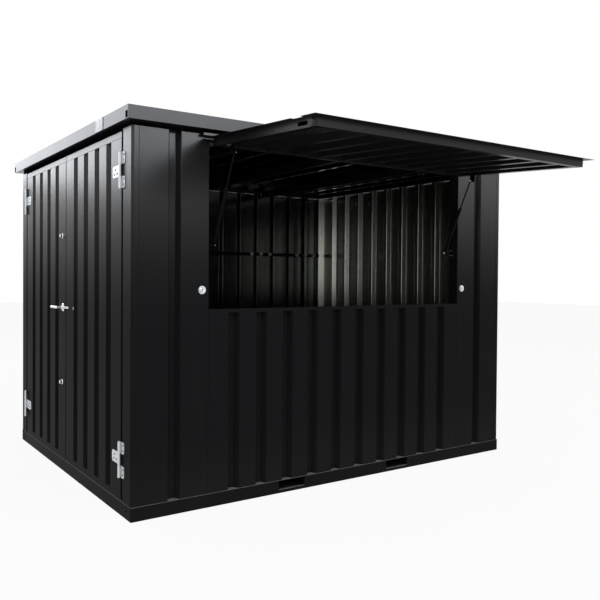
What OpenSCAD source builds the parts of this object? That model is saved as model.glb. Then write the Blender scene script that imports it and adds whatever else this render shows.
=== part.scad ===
// Container bar: a flat-packed steel hut with double doors on one end and a
// serving hatch in one long wall. The hatch flap hinges up on two gas struts.
// Axes: +X along the serving wall, the serving wall faces -Y, +Z is up.
// The origin is the middle of the underside, on the centre floor joist.

/* [Body] */
// Length over the corner posts, along the serving wall
body_l = 3050; // [2450:10:3700]
// Width over the corner posts, from serving wall to back wall
body_w = 2250; // [1850:10:2750]
// Height from the underside to the top of the roof edge
body_h = 2240; // [2150:10:2700]

/* [Sheet metal] */
// Thickness of the folded wall, door and roof sheets
sheet_t = 1.5; // [0.8:0.1:2]
// Depth of every wall, door and roof panel
panel_depth = 40; // [30:1:55]
// Distance from one groove to the next
groove_pitch = 195; // [150:5:240]
// Width of a groove at the outer face
groove_mouth = 77; // [60:1:100]
// Width of a groove at its floor
groove_floor = 39; // [20:1:55]
// Least flat stretch between a panel's edge and its first groove
edge_flat = 100; // [40:5:140]

/* [Base] */
// Height of the base rails and joists
rail_h = 80; // [70:1:120]
// Width of the base rails, front to back
rail_w = 60; // [50:1:90]
// Thickness of the rail steel
rail_t = 3; // [2:0.5:5]
// Clear width of a fork pocket
fork_w = 200; // [160:5:240]
// Clear height of a fork pocket
fork_h = 55; // [40:1:60]
// Distance between the middles of the two fork pockets
fork_span = 900; // [600:10:1100]
// Thickness of the fork channels' steel
fork_t = 2; // [1:0.5:3]
// Gap between a fork channel and the joist outside it
joist_gap = 28; // [5:1:60]
// Width of a joist
joist_w = 40; // [30:1:60]
// Thickness of the plywood floor
floor_t = 18; // [12:1:27]

/* [Frame] */
// Width of the posts beside the opening, the door header and the roof's beams
post_w = 40; // [30:1:60]
// Outer corner radius of the corner posts
post_r = 14; // [4:1:18]
// Wall of the posts and beams
tube_t = 2; // [1.5:0.5:4]
// Height of the flat beam on top of the walls
eaves_h = 20; // [15:1:40]
// How far that beam stands back from the wall face
eaves_back = 15; // [8:1:20]
// Height of the roof beams
roof_beam_h = 60; // [40:1:90]
// Grooves of the roof sheet from one roof beam to the next
beam_grooves = 4; // [2:1:5]

/* [Roof edge] */
// Height of the folded roof edge
fascia_h = 75; // [60:1:100]
// Thickness of the roof edge
fascia_t = 2; // [1:0.5:3]
// Roof overhang at the serving wall and the back wall
overhang_side = 60; // [40:1:90]
// Roof overhang at the two ends
overhang_end = 48; // [30:1:80]
// Width of the roof edge's top flange
fascia_flange = 40; // [25:1:60]
// Width of the galvanised clip plate on the roof edge
clip_w = 115; // [60:5:160]
// Distance from the middle of the roof edge to the clip plate
clip_y = 760; // [300:10:900]

/* [Serving opening] */
// Clear width of the serving opening
opening_w = 2100; // [1700:10:2200]
// Height of the sill's top above the underside
sill_z = 1145; // [900:5:1250]
// Height of the sill strip
sill_h = 20; // [15:1:40]
// Height of the lintel over the opening
lintel_h = 35; // [25:1:60]
// Diameter of the round hatch locks
lock_d = 47; // [30:1:55]
// Height of the hatch locks
lock_z = 1258; // [1180:1:1320]
// Distance from the opening's edge to a lock's middle
lock_offset = 45; // [30:1:60]
// How far a lock stands out from the wall
lock_l = 10; // [6:1:14]
// Gap between a lock and the notch in the flap's skin
lock_gap = 7; // [6:1:12]
// How far the drip flashing reaches past each side of the opening
flash_lap = 57; // [50:1:60]
// How far the drip flashing stands out from the wall
flash_reach = 35; // [25:1:40]
// Height of the drip flashing's turned-down lip
flash_lip = 12; // [6:1:14]

/* [Hatch flap] */
// Distance of the hatch hinges' axis in front of the serving wall
hinge_out = 7; // [6:0.5:9]
// Height of the hatch hinges' axis over the lintel's foot
hinge_rise = 14; // [10:1:20]
// Length of a hatch hinge
hatch_hinge_l = 90; // [60:5:120]
// Place of the outer hatch hinges, as a share of half the opening
hatch_hinge_share = 0.82; // [0.6:0.02:0.9]
// Distance from the hinge axis to the flap's skin
skin_u = 8; // [7:1:14]
// Distance from the hinge axis to the flap's frame
bar_u = 21; // [20:1:30]
// Gap between the closed flap's frame and the sill
frame_foot_gap = 6; // [5:1:12]
// Slope of the open flap below level, in degrees
flap_slope = 3.2; // [0:0.1:10]
// Gap between the closed flap's skin and the wall
flap_gap = 5; // [5:0.5:8]
// Gap between the flap's frame and the opening
flap_clear = 10; // [6:1:15]
// Width the flap's skin laps past its frame on three sides
flap_lap = 45; // [20:1:50]
// Width of the flap's frame bars
bar_w = 40; // [30:1:50]
// Depth of the flap's frame bars
bar_d = 45; // [40:1:60]
// Radius of the hatch hinge knuckles
knuckle_r = 6; // [5:0.5:8]
// Radius of the hatch hinge pins
hatch_pin_r = 3; // [2:0.5:4]
// Length of the slot in each side bar, where the lock's tongue enters
slot_l = 76; // [60:1:100]

/* [Gas struts] */
// Radius of a strut's cylinder
strut_r = 11; // [8:0.5:14]
// Radius of a strut's rod
rod_r = 5; // [3:0.5:7]
// Height of the struts' lower pivots
strut_foot_z = 1520; // [1400:5:1650]
// Distance of the lower pivots behind the serving wall's face
strut_foot_y = 65; // [60:1:90]
// Distance from the hatch hinge to the upper pivot, along the flap
strut_head_u = 164; // [140:1:200]
// Depth of the upper pivot below the hatch hinge, square to the flap
strut_head_w = 86; // [75:1:95]
// Length of a strut's cylinder
strut_case_l = 330; // [300:5:360]

/* [Double doors] */
// Width of the fixed jambs beside the doors
jamb_w = 96; // [60:1:140]
// Gap round each door leaf
leaf_gap = 8; // [5:0.5:10]
// Gap under the door leaves
foot_gap = 7; // [5:1:12]
// Height of the flat band at the top of each leaf
top_band = 40; // [25:1:80]
// Height of the flat band at the foot of each leaf
foot_band = 30; // [20:1:80]
// Height of a door hinge
hinge_h = 200; // [150:5:260]
// Radius of the door hinge pins
hinge_pin_r = 5; // [4:0.5:7]
// Outer radius of the door hinge knuckles
hinge_knuckle_r = 9; // [8:0.5:14]
// Thickness of the hinge straps
strap_t = 4; // [3:0.5:5]
// Length of the strap on the door
strap_l = 125; // [80:5:150]
// Length of the straps on the jamb
jamb_strap_l = 50; // [40:1:60]
// Size of the cut corners at the straps' ends
strap_cut = 9; // [4:1:14]
// Height of the lower hinges' middles
low_hinge_z = 315; // [250:5:500]
// Height of the upper hinges' middles
high_hinge_z = 1920; // [1600:5:1950]

/* [Door furniture] */
// Height of the lever handle
lever_z = 1120; // [950:5:1200]
// Distance from the middle of the doorway to the handle's spindle
lever_y = 50; // [40:1:80]
// Length of the lever's grip
lever_l = 125; // [100:5:150]
// Height of the upper key cylinder
high_lock_z = 1606; // [1400:2:1800]
// Height of the lower key cylinder
low_lock_z = 611; // [400:1:800]
// Diameter of the key cylinders on the doors
key_d = 34; // [25:1:45]
// How far a key cylinder stands out from the door
key_l = 12; // [6:1:16]
// Width of the diamond-shaped rose under the lever
rose_w = 50; // [40:1:60]
// Height of the rose
rose_h = 96; // [70:1:110]
// Thickness of the rose
rose_t = 6; // [4:0.5:9]
// Diameter of the round boss on the rose
boss_d = 32; // [26:1:38]
// How far the lever stands out from the door
neck_l = 46; // [38:1:55]
// Radius of the lever's neck
neck_r = 8; // [6:0.5:9]
// Radius of the lever's grip
grip_r = 9; // [7:0.5:11]

/* [Hook rail] */
// Height of the rail on the back wall
hook_z = 1557; // [1300:1:1800]
// Diameter of a knob
knob_d = 34; // [20:1:50]
// How far a knob stands out from the rail
knob_l = 40; // [20:1:60]
// Distance between knobs in a group
knob_pitch = 108; // [60:1:140]
// Distance from the right corner post to the nearest knob
knob_edge = 95; // [60:1:200]
// Height of the rail itself
hook_rail_h = 30; // [20:1:45]
// Depth of the rail itself
hook_rail_d = 20; // [15:1:30]
// Distance between the two groups of knobs
group_pitch = 545; // [400:5:700]

/* [Hidden] */

$fn = 48;
half_l = body_l / 2;
half_w = body_w / 2;

// Heights, from the ground up
floor_top = rail_h + floor_t;
fascia_z = body_h - fascia_h;
eaves_z = fascia_z + fascia_t - eaves_h;
roof_z = fascia_z + fascia_t;
lintel_z = eaves_z - lintel_h;
wall_h = eaves_z - rail_h;

// Groove geometry: the fold angle sets how far each inner corner moves
groove_depth = panel_depth - sheet_t;
fold_angle = atan2(groove_depth, (groove_mouth - groove_floor) / 2);
fold_shift = sheet_t * tan(fold_angle / 2);

// Inner faces of the walls
inner_y = half_w - panel_depth;
inner_x = half_l - panel_depth;
half_open = opening_w / 2;
side_panel_w = inner_x - half_open;

// Fork pockets, and the joists beside them
fork_z = rail_h - rail_t - fork_t - fork_h;
mid_joist_x = (fork_span + fork_w + joist_w) / 2 + fork_t + joist_gap;
end_joist_x = (mid_joist_x + half_l - rail_w) / 2;

// Hatch hinge axis and flap sizes, along (u) and below (w) the flap
hinge_y = -half_w - hinge_out;
hinge_z = lintel_z + hinge_rise;
skin_w = hinge_out - flap_gap;
frame_l = hinge_z - sill_z - frame_foot_gap;
flap_l = frame_l + flap_lap;
half_bar = half_open - flap_clear;
half_skin = half_bar + flap_lap;
lock_u = hinge_z - lock_z;
lock_x = half_open + lock_offset;
notch_x = lock_x - lock_d / 2 - lock_gap;
hatch_hinge_pitch = half_open * hatch_hinge_share;
run_gap = 0.08;

// Gas struts: the lower pivot, and the open strut's direction and length
foot_y = -half_w + strut_foot_y;
head_y = hinge_y - strut_head_u * cos(flap_slope) + strut_head_w * sin(flap_slope);
head_z = hinge_z - strut_head_u * sin(flap_slope) - strut_head_w * cos(flap_slope);
strut_lean = atan2(foot_y - head_y, head_z - strut_foot_z);
strut_l = norm([head_y - foot_y, head_z - strut_foot_z]);
strut_x = half_bar - bar_w - 5 - strut_r;
eye_r = 10;
eye_t = 10;

// Double doors: each leaf runs from near the middle to its jamb
jamb_y = inner_y - jamb_w;
centre_gap = leaf_gap / 2;
leaf_w = jamb_y - leaf_gap - centre_gap;
leaf_mid = centre_gap + leaf_w / 2;
leaf_z = rail_h + foot_gap;
leaf_h = eaves_z - leaf_gap - leaf_z;
pin_y = jamb_y - leaf_gap / 2;
pin_x = -half_l - hinge_knuckle_r - 2;
tab_gap = 1;
tab_h = hinge_h / 3 - tab_gap / 2;

// Roof sheet, inside the roof edge
sheet_in = fascia_t + 2;
roof_sheet_w = body_l + 2 * (overhang_end - sheet_in);
roof_sheet_l = body_w + 2 * (overhang_side - sheet_in);

steel_black = [0.07, 0.07, 0.075];
steel_dark = [0.12, 0.12, 0.13];
zinc = [0.75, 0.77, 0.78];
bright = [0.85, 0.86, 0.87];
birch = [0.35, 0.25, 0.17];

// ---- shared shapes ----

function groove_count(w) =
    max(1, floor((w - 2 * edge_flat - groove_mouth) / groove_pitch) + 1);
function groove_places(w) =
    let (n = groove_count(w)) [for (i = [0:n - 1]) (i - (n - 1) / 2) * groove_pitch];
function outer_fold(c) = [
    [c - groove_mouth / 2, 0], [c - groove_floor / 2, groove_depth],
    [c + groove_floor / 2, groove_depth], [c + groove_mouth / 2, 0]
];
function inner_fold(c) = [
    [c + groove_mouth / 2 + fold_shift, sheet_t],
    [c + groove_floor / 2 + fold_shift, panel_depth],
    [c - groove_floor / 2 - fold_shift, panel_depth],
    [c - groove_mouth / 2 - fold_shift, sheet_t]
];

// Cross-section of a grooved sheet with folded edges: the outer face lies on
// y = 0 and the grooves and edges fold towards +y. Grooves follow the width
// groove_w, so that a flap's grooves line up with the wall under it.
module sheet_outline(w, groove_w, edge_depth) {
    places = groove_places(groove_w);
    last = len(places) - 1;
    polygon(concat(
        [[-w / 2, edge_depth], [-w / 2, 0]],
        [for (c = places) each outer_fold(c)],
        [[w / 2, 0], [w / 2, edge_depth], [w / 2 - sheet_t, edge_depth], [w / 2 - sheet_t, sheet_t]],
        [for (i = [last:-1:0]) each inner_fold(places[i])],
        [[-w / 2 + sheet_t, sheet_t], [-w / 2 + sheet_t, edge_depth]]
    ));
}

// Upright grooved panel, centred on x = 0, standing on z = 0
module wall_panel(w, h) {
    linear_extrude(h) sheet_outline(w, w, panel_depth);
}

// Folded channel, open towards +y, centred on x = 0
module channel(w, d, h, t) {
    difference() {
        translate([-w / 2, 0, 0]) cube([w, d, h]);
        translate([-w / 2 + t, t, t]) cube([w - 2 * t, d, h - 2 * t]);
    }
}

// Square tube along z with its corner on the origin
module upright_tube(a, b, h, t) {
    difference() {
        cube([a, b, h]);
        translate([t, t, -1]) cube([a - 2 * t, b - 2 * t, h + 2]);
    }
}

// Tube along x, centred on x = 0, with its low corner on y = z = 0
module beam_x(l, d, h, t) {
    difference() {
        translate([-l / 2, 0, 0]) cube([l, d, h]);
        translate([-l / 2 - 1, t, t]) cube([l + 2, d - 2 * t, h - 2 * t]);
    }
}

// Tube along y, centred on y = 0, with its low corner on x = z = 0
module beam_y(l, d, h, t) {
    difference() {
        translate([0, -l / 2, 0]) cube([d, l, h]);
        translate([t, -l / 2 - 1, t]) cube([d - 2 * t, l + 2, h - 2 * t]);
    }
}

// Copies across the middle of the length or of the width
module both_x() {
    children();
    mirror([1, 0, 0]) children();
}
module both_y() {
    children();
    mirror([0, 1, 0]) children();
}

// Puts something made along +x (u) and +z (-w) into the open flap's place:
// u runs out from the hinge axis and w square below the flap
module on_flap() {
    translate([0, hinge_y, hinge_z]) rotate([flap_slope, 0, 0]) mirror([0, 1, 0]) children();
}

// ---- base ----

module long_rail() {
    difference() {
        translate([-half_l, -half_w, 0]) cube([body_l, rail_w, rail_h]);
        translate([-half_l - 1, -half_w + rail_t, rail_t])
            cube([body_l + 2, rail_w, rail_h - 2 * rail_t]);
        both_x() translate([(fork_span - fork_w) / 2, -half_w - 1, fork_z])
            cube([fork_w, rail_t + 2, fork_h]);
    }
}
module front_base_rail() { color(steel_black) long_rail(); }
module back_base_rail() { color(steel_black) mirror([0, 1, 0]) long_rail(); }
module end_base_rails() {
    color(steel_black) both_x() difference() {
        translate([-half_l, -half_w + rail_w, 0]) cube([rail_w, body_w - 2 * rail_w, rail_h]);
        translate([-half_l + rail_t, -half_w, rail_t])
            cube([rail_w, body_w, rail_h - 2 * rail_t]);
    }
}
module floor_joists() {
    color(steel_dark) for (x = [-end_joist_x, -mid_joist_x, 0, mid_joist_x, end_joist_x])
        translate([x - joist_w / 2, 0, 0])
            beam_y(body_w - 2 * rail_w, joist_w, rail_h, rail_t);
}
module fork_channels() {
    color(steel_dark) both_x()
        translate([(fork_span - fork_w) / 2 - fork_t, 0, fork_z - fork_t])
            beam_y(body_w - 2 * rail_t, fork_w + 2 * fork_t, fork_h + 2 * fork_t, fork_t);
}
module plywood_floor() {
    color(birch) translate([-inner_x + 7, -inner_y, rail_h])
        cube([2 * inner_x - 7, 2 * inner_y, floor_t]);
}

// ---- walls ----

module corner_post() {
    translate([-half_l, -half_w, rail_h]) linear_extrude(wall_h) difference() {
        union() {
            translate([post_r, post_r]) circle(post_r);
            translate([post_r, 0]) square([panel_depth - post_r, panel_depth]);
            translate([0, post_r]) square([panel_depth, panel_depth - post_r]);
        }
        translate([tube_t, tube_t]) translate([post_r, post_r]) circle(post_r - tube_t);
        translate([post_r, tube_t])
            square([panel_depth - post_r - tube_t, panel_depth - 2 * tube_t]);
        translate([tube_t, post_r])
            square([panel_depth - 2 * tube_t, panel_depth - post_r - tube_t]);
    }
}
module corner_posts() { color(steel_black) both_x() both_y() corner_post(); }

module front_right_panel() {
    color(steel_black) translate([half_open + side_panel_w / 2, -half_w, rail_h])
        wall_panel(side_panel_w, wall_h);
}
module front_left_panel() { mirror([1, 0, 0]) front_right_panel(); }
module front_lower_panel() {
    color(steel_black) translate([0, -half_w, rail_h])
        wall_panel(opening_w, sill_z - sill_h - rail_h);
}
module hatch_sill() {
    color(steel_black) translate([0, -half_w, sill_z - sill_h])
        beam_x(opening_w, panel_depth, sill_h, sheet_t);
}
module hatch_lintel() {
    color(steel_black) translate([0, -half_w, lintel_z])
        beam_x(opening_w, panel_depth, lintel_h, tube_t);
}
module hatch_posts() {
    color(steel_black) both_x() translate([half_open, -inner_y, floor_top])
        upright_tube(post_w, post_w, eaves_z - floor_top, tube_t);
}
module back_wall_panels() {
    color(steel_black) both_x() translate([inner_x / 2, half_w, rail_h])
        rotate([0, 0, 180]) wall_panel(inner_x, wall_h);
}
module end_wall_panel() {
    color(steel_black) translate([half_l, 0, rail_h]) rotate([0, 0, 90])
        wall_panel(2 * inner_y, wall_h);
}
module door_jambs() {
    color(steel_black) both_y() translate([-half_l, -inner_y, rail_h])
        difference() {
            cube([panel_depth, jamb_w, wall_h]);
            translate([tube_t, tube_t, -1]) cube([panel_depth, jamb_w - 2 * tube_t, wall_h + 2]);
        }
}
module door_header() {
    color(steel_black) translate([-inner_x + leaf_gap, 0, eaves_z - post_w])
        beam_y(2 * jamb_y, post_w, post_w, tube_t);
}

// ---- roof ----

module long_eaves_beams() {
    color(steel_dark) both_y() translate([0, -half_w + eaves_back, eaves_z])
        beam_x(body_l - 2 * eaves_back, post_w, eaves_h, tube_t);
}
module end_eaves_beams() {
    color(steel_dark) both_x() translate([-half_l + eaves_back, 0, eaves_z])
        beam_y(body_w - 2 * (eaves_back + post_w), post_w, eaves_h, tube_t);
}
// Each roof beam stands under a groove of the roof sheet
module roof_beams() {
    places = groove_places(roof_sheet_w);
    middle = floor(len(places) / 2);
    color(steel_dark) for (i = [-1:1])
        translate([places[middle + i * beam_grooves] - post_w / 2, 0,
                   roof_z + fascia_t - roof_beam_h])
            beam_y(body_w - 2 * (eaves_back + post_w), post_w, roof_beam_h, tube_t);
}
module roof_sheet() {
    color(zinc) translate([0, -roof_sheet_l / 2, roof_z + fascia_t + panel_depth])
        rotate([-90, 0, 0]) linear_extrude(roof_sheet_l)
            sheet_outline(roof_sheet_w, roof_sheet_w, panel_depth);
}
// One folded edge along x: upright web, wide lower flange and narrow top flange
module long_fascia() {
    l = body_l + 2 * (overhang_end - fascia_t);
    translate([-l / 2, -half_w - overhang_side, 0]) {
        translate([0, 0, roof_z]) cube([l, fascia_t, fascia_h - fascia_t]);
        translate([0, 0, roof_z]) cube([l, overhang_side + panel_depth, fascia_t]);
        translate([0, 0, body_h - fascia_t]) cube([l, fascia_flange, fascia_t]);
    }
}
module long_fascias() { color(steel_black) both_y() long_fascia(); }
module end_fascias() {
    web = body_w + 2 * overhang_side;
    low = body_w - 2 * panel_depth;
    top = web - 2 * fascia_flange;
    color(steel_black) both_x() translate([-half_l - overhang_end, 0, 0]) {
        translate([0, -web / 2, roof_z]) cube([fascia_t, web, fascia_h - fascia_t]);
        translate([0, -low / 2, roof_z]) cube([overhang_end + panel_depth, low, fascia_t]);
        translate([0, -top / 2, body_h - fascia_t]) cube([fascia_flange, top, fascia_t]);
    }
}
module fascia_clip() {
    clip_t = 3;
    color(zinc) translate([-half_l - overhang_end - clip_t, -clip_y - clip_w / 2, roof_z])
        cube([clip_t, clip_w, body_h - roof_z]);
}
module drip_flashing() {
    flash_l = opening_w + 2 * flash_lap;
    color(steel_black) translate([-flash_l / 2, -half_w, eaves_z]) {
        translate([0, -flash_reach, 0]) cube([flash_l, flash_reach + eaves_back, sheet_t]);
        translate([0, -flash_reach, -flash_lip]) cube([flash_l, sheet_t, flash_lip]);
    }
}

// ---- fittings on the hut ----

module hatch_locks() {
    color(zinc) both_x() translate([lock_x, -half_w, lock_z]) rotate([90, 0, 0]) {
        cylinder(h = lock_l * 0.4, d = lock_d);
        cylinder(h = lock_l, d = lock_d * 0.62);
    }
}
module hook_rail() {
    color(steel_dark) translate([0, inner_y - hook_rail_d, hook_z - hook_rail_h / 2])
        beam_x(2 * inner_x - 10, hook_rail_d, hook_rail_h, tube_t);
}
module hook_knobs() {
    color(bright) for (g = [0:1], i = [0:2])
        translate([inner_x - knob_edge - g * group_pitch - i * knob_pitch,
                   inner_y - hook_rail_d, hook_z]) rotate([90, 0, 0]) {
            cylinder(h = knob_l, d = knob_d * 0.4);
            translate([0, 0, knob_l * 0.6]) cylinder(h = knob_l * 0.4, d = knob_d);
        }
}

// Flat strap on the wall's face with cut corners at its far end, from y = 0 to -l
module strap(l, h) {
    translate([-half_l - strap_t - pin_x, 0, 0]) rotate([90, 0, 90]) linear_extrude(strap_t)
        polygon([
            [0, 0], [0, h], [strap_cut - l, h], [-l, h - strap_cut], [-l, strap_cut],
            [strap_cut - l, 0]
        ]);
}
// Jamb side of one door hinge: two straps with knuckles, and the pin
module jamb_hinge() {
    for (z = [-hinge_h / 2, hinge_h / 2 - tab_h]) translate([pin_x, -pin_y, z]) {
        cylinder(h = tab_h, r = hinge_knuckle_r);
        strap(jamb_strap_l, tab_h);
    }
    translate([pin_x, -pin_y, -hinge_h / 2]) cylinder(h = hinge_h, r = hinge_pin_r);
}
module jamb_hinges() {
    color(zinc) both_y() for (z = [low_hinge_z, high_hinge_z])
        translate([0, 0, z]) jamb_hinge();
}

// Wall side of a hatch hinge: a plate, two end knuckles and the pin
module hatch_hinge_leaf() {
    third = hatch_hinge_l / 3;
    translate([-hatch_hinge_l / 2, -half_w - tube_t, hinge_z])
        cube([hatch_hinge_l, tube_t, eaves_z - hinge_z - 1]);
    for (x = [-hatch_hinge_l / 2, third / 2])
        translate([x, hinge_y, hinge_z]) rotate([0, 90, 0]) cylinder(h = third, r = knuckle_r);
    translate([-hatch_hinge_l / 2, hinge_y, hinge_z]) rotate([0, 90, 0])
        cylinder(h = hatch_hinge_l, r = hatch_pin_r);
}
module hatch_hinge_leaves() {
    color(zinc) for (i = [-1:1]) translate([i * hatch_hinge_pitch, 0, 0]) difference() {
        hatch_hinge_leaf();
        translate([-hatch_hinge_l / 6, hinge_y - 2 * knuckle_r, hinge_z - 2 * knuckle_r]) difference() {
            cube([hatch_hinge_l / 3, 2 * knuckle_r + hinge_out, 4 * knuckle_r]);
            translate([-1, 2 * knuckle_r, 2 * knuckle_r]) rotate([0, 90, 0])
                cylinder(h = hatch_hinge_l, r = hatch_pin_r);
        }
    }
}
module strut_feet() {
    plate = 50;
    color(zinc) both_x() translate([half_open, foot_y, strut_foot_z]) {
        translate([-3, -strut_foot_y + panel_depth + 2, -plate / 2])
            cube([3, post_w - 4, plate]);
        translate([strut_x - half_open - eye_t / 2, 0, 0]) rotate([0, 90, 0])
            cylinder(h = half_open - strut_x + eye_t / 2, r = rod_r);
    }
}

// ---- hatch flap, drawn open ----

module flap_sheet() {
    rib_l = frame_l - bar_u - 2 * bar_w;
    color(steel_black) on_flap() difference() {
        union() {
            translate([0, bar_u + bar_w, -skin_w + sheet_t]) rotate([-90, 0, 0])
                linear_extrude(rib_l) sheet_outline(2 * half_skin, opening_w, sheet_t);
            for (u = [[skin_u, bar_u + bar_w], [frame_l - bar_w, flap_l]])
                translate([-half_skin, u[0], -skin_w]) cube([2 * half_skin, u[1] - u[0], sheet_t]);
        }
        both_x() translate([notch_x, lock_u - slot_l / 2, -skin_w - 1])
            cube([half_skin, slot_l, sheet_t + 2]);
    }
}
module flap_side_bars() {
    color(steel_black) both_x() on_flap() difference() {
        translate([half_bar - bar_w, bar_u + bar_w, -skin_w - bar_d])
            beam_y_from_zero(frame_l - bar_u - 2 * bar_w, bar_w, bar_d, tube_t);
        translate([half_bar - tube_t - 1, lock_u - slot_l / 2, -skin_w - bar_d / 2 - 10])
            cube([tube_t + 2, slot_l, 20]);
    }
}
// Tube along y starting on y = 0, with its low corner on x = z = 0
module beam_y_from_zero(l, d, h, t) { translate([0, l / 2, 0]) beam_y(l, d, h, t); }

module flap_cross_bars() {
    color(steel_black) on_flap() for (u = [bar_u, frame_l - bar_w])
        translate([0, u, -skin_w - bar_d]) beam_x(2 * half_bar, bar_w, bar_d, tube_t);
}
// Flap side of the three hatch hinges: a plate on the skin and the middle knuckle
module flap_hinge_leaves() {
    knuckle_l = hatch_hinge_l / 3 - 2;
    color(zinc) on_flap() for (i = [-1:1])
        translate([i * hatch_hinge_pitch, 0, 0]) difference() {
            union() {
                translate([-knuckle_l / 2, 0, 0]) rotate([0, 90, 0])
                    cylinder(h = knuckle_l, r = knuckle_r);
                translate([-knuckle_l / 2, 0, -skin_w + sheet_t]) cube([knuckle_l, bar_w, 2]);
            }
            translate([-knuckle_l, 0, 0]) rotate([0, 90, 0])
                cylinder(h = 2 * knuckle_l, r = hatch_pin_r + run_gap);
        }
}
// Bracket under each side bar with a stud that points at the strut's end
module strut_heads() {
    foot = 40;
    color(zinc) both_x() on_flap() {
        translate([half_bar - bar_w, strut_head_u - foot / 2, -skin_w - bar_d - 3])
            cube([bar_w, foot, 3]);
        translate([half_bar - bar_w, strut_head_u - foot / 2, -strut_head_w - eye_r])
            cube([3, foot, strut_head_w + eye_r - skin_w - bar_d]);
        translate([strut_x + eye_t / 2 + 0.5, strut_head_u, -strut_head_w]) rotate([0, 90, 0])
            cylinder(h = half_bar - bar_w - strut_x - eye_t / 2, r = rod_r);
    }
}

// ---- gas struts, drawn open; each is made upright on its lower pivot ----

module at_strut(side) {
    translate([side * strut_x, foot_y, strut_foot_z]) rotate([strut_lean, 0, 0]) children();
}
module strut_case() {
    difference() {
        union() {
            translate([-eye_t / 2, 0, 0]) rotate([0, 90, 0]) cylinder(h = eye_t, r = eye_r);
            translate([0, 0, eye_r - 2]) cylinder(h = 16, r = rod_r);
            translate([0, 0, eye_r + 12]) cylinder(h = strut_case_l, r = strut_r);
        }
        translate([-eye_t, 0, 0]) rotate([0, 90, 0]) cylinder(h = 2 * eye_t, r = rod_r + run_gap);
        translate([0, 0, eye_r + 24]) cylinder(h = strut_case_l, r = rod_r + run_gap);
    }
}
module strut_rod() {
    rod_from = strut_case_l - 100;
    translate([0, 0, rod_from]) cylinder(h = strut_l - eye_r - rod_from + 2, r = rod_r);
    translate([-eye_t / 2, 0, strut_l]) rotate([0, 90, 0]) cylinder(h = eye_t, r = eye_r);
}
module right_strut_case() { color(steel_black) at_strut(1) strut_case(); }
module right_strut_rod() { color(bright) at_strut(1) strut_rod(); }
module left_strut_case() { color(steel_black) at_strut(-1) strut_case(); }
module left_strut_rod() { color(bright) at_strut(-1) strut_rod(); }

// ---- double doors ----

// One leaf made in the y > 0 half: grooved sheet between two flat bands
module door_leaf() {
    rib_h = leaf_h - top_band - foot_band;
    translate([-half_l, leaf_mid, leaf_z]) rotate([0, 0, -90]) {
        translate([0, 0, foot_band]) wall_panel(leaf_w, rib_h);
        channel(leaf_w, panel_depth, foot_band, sheet_t);
        translate([0, 0, leaf_h - top_band]) channel(leaf_w, panel_depth, top_band, sheet_t);
    }
}
// Door side of a leaf's two hinges: the middle knuckle and a strap
module door_straps() {
    knuckle_l = hinge_h - 2 * tab_h - 2 * tab_gap;
    for (z = [low_hinge_z, high_hinge_z]) translate([pin_x, pin_y, z - knuckle_l / 2])
        difference() {
            union() {
                cylinder(h = knuckle_l, r = hinge_knuckle_r);
                strap(strap_l, knuckle_l);
            }
            translate([0, 0, -1]) cylinder(h = knuckle_l + 2, r = hinge_pin_r + run_gap);
        }
}
module far_door_leaf() { color(steel_black) door_leaf(); }
module far_door_straps() { color(zinc) door_straps(); }
module near_door_leaf() { color(steel_black) mirror([0, 1, 0]) door_leaf(); }
module near_door_straps() { color(zinc) mirror([0, 1, 0]) door_straps(); }

module door_locks() {
    color(bright) translate([-half_l, lever_y, 0]) {
        for (z = [low_lock_z, high_lock_z])
            translate([0, 0, z]) rotate([0, -90, 0]) cylinder(h = key_l, d = key_d);
        translate([0, 0, lever_z]) rotate([0, -90, 0]) difference() {
            union() {
                linear_extrude(rose_t) polygon([
                    [rose_h / 2, 0], [0, rose_w / 2], [-rose_h / 2, 0], [0, -rose_w / 2]
                ]);
                cylinder(h = 2 * rose_t, d = boss_d);
            }
            translate([0, 0, 1]) cylinder(h = 2 * rose_t, r = neck_r + run_gap);
        }
    }
}
module door_lever() {
    color(bright) translate([-half_l, lever_y, lever_z]) {
        rotate([0, -90, 0]) translate([0, 0, 1.5]) cylinder(h = neck_l, r = neck_r);
        translate([-neck_l, 0, 0]) rotate([-90, 0, 0]) cylinder(h = lever_l, r = grip_r);
        translate([-neck_l, 0, 0]) sphere(r = grip_r);
    }
}

front_base_rail();
back_base_rail();
end_base_rails();
floor_joists();
fork_channels();
plywood_floor();
corner_posts();
front_left_panel();
front_right_panel();
front_lower_panel();
hatch_sill();
hatch_lintel();
hatch_posts();
back_wall_panels();
end_wall_panel();
door_jambs();
door_header();
long_eaves_beams();
end_eaves_beams();
roof_beams();
roof_sheet();
long_fascias();
end_fascias();
fascia_clip();
drip_flashing();
hatch_locks();
hook_rail();
hook_knobs();
jamb_hinges();
hatch_hinge_leaves();
strut_feet();
flap_sheet();
flap_side_bars();
flap_cross_bars();
flap_hinge_leaves();
strut_heads();
left_strut_case();
left_strut_rod();
right_strut_case();
right_strut_rod();
near_door_leaf();
near_door_straps();
far_door_leaf();
far_door_straps();
door_locks();
door_lever();
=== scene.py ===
import logging
import math
from dataclasses import dataclass, field
from enum import Enum
from typing import Sequence

import bmesh
import bpy
from mathutils import Matrix, Vector, noise


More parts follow.
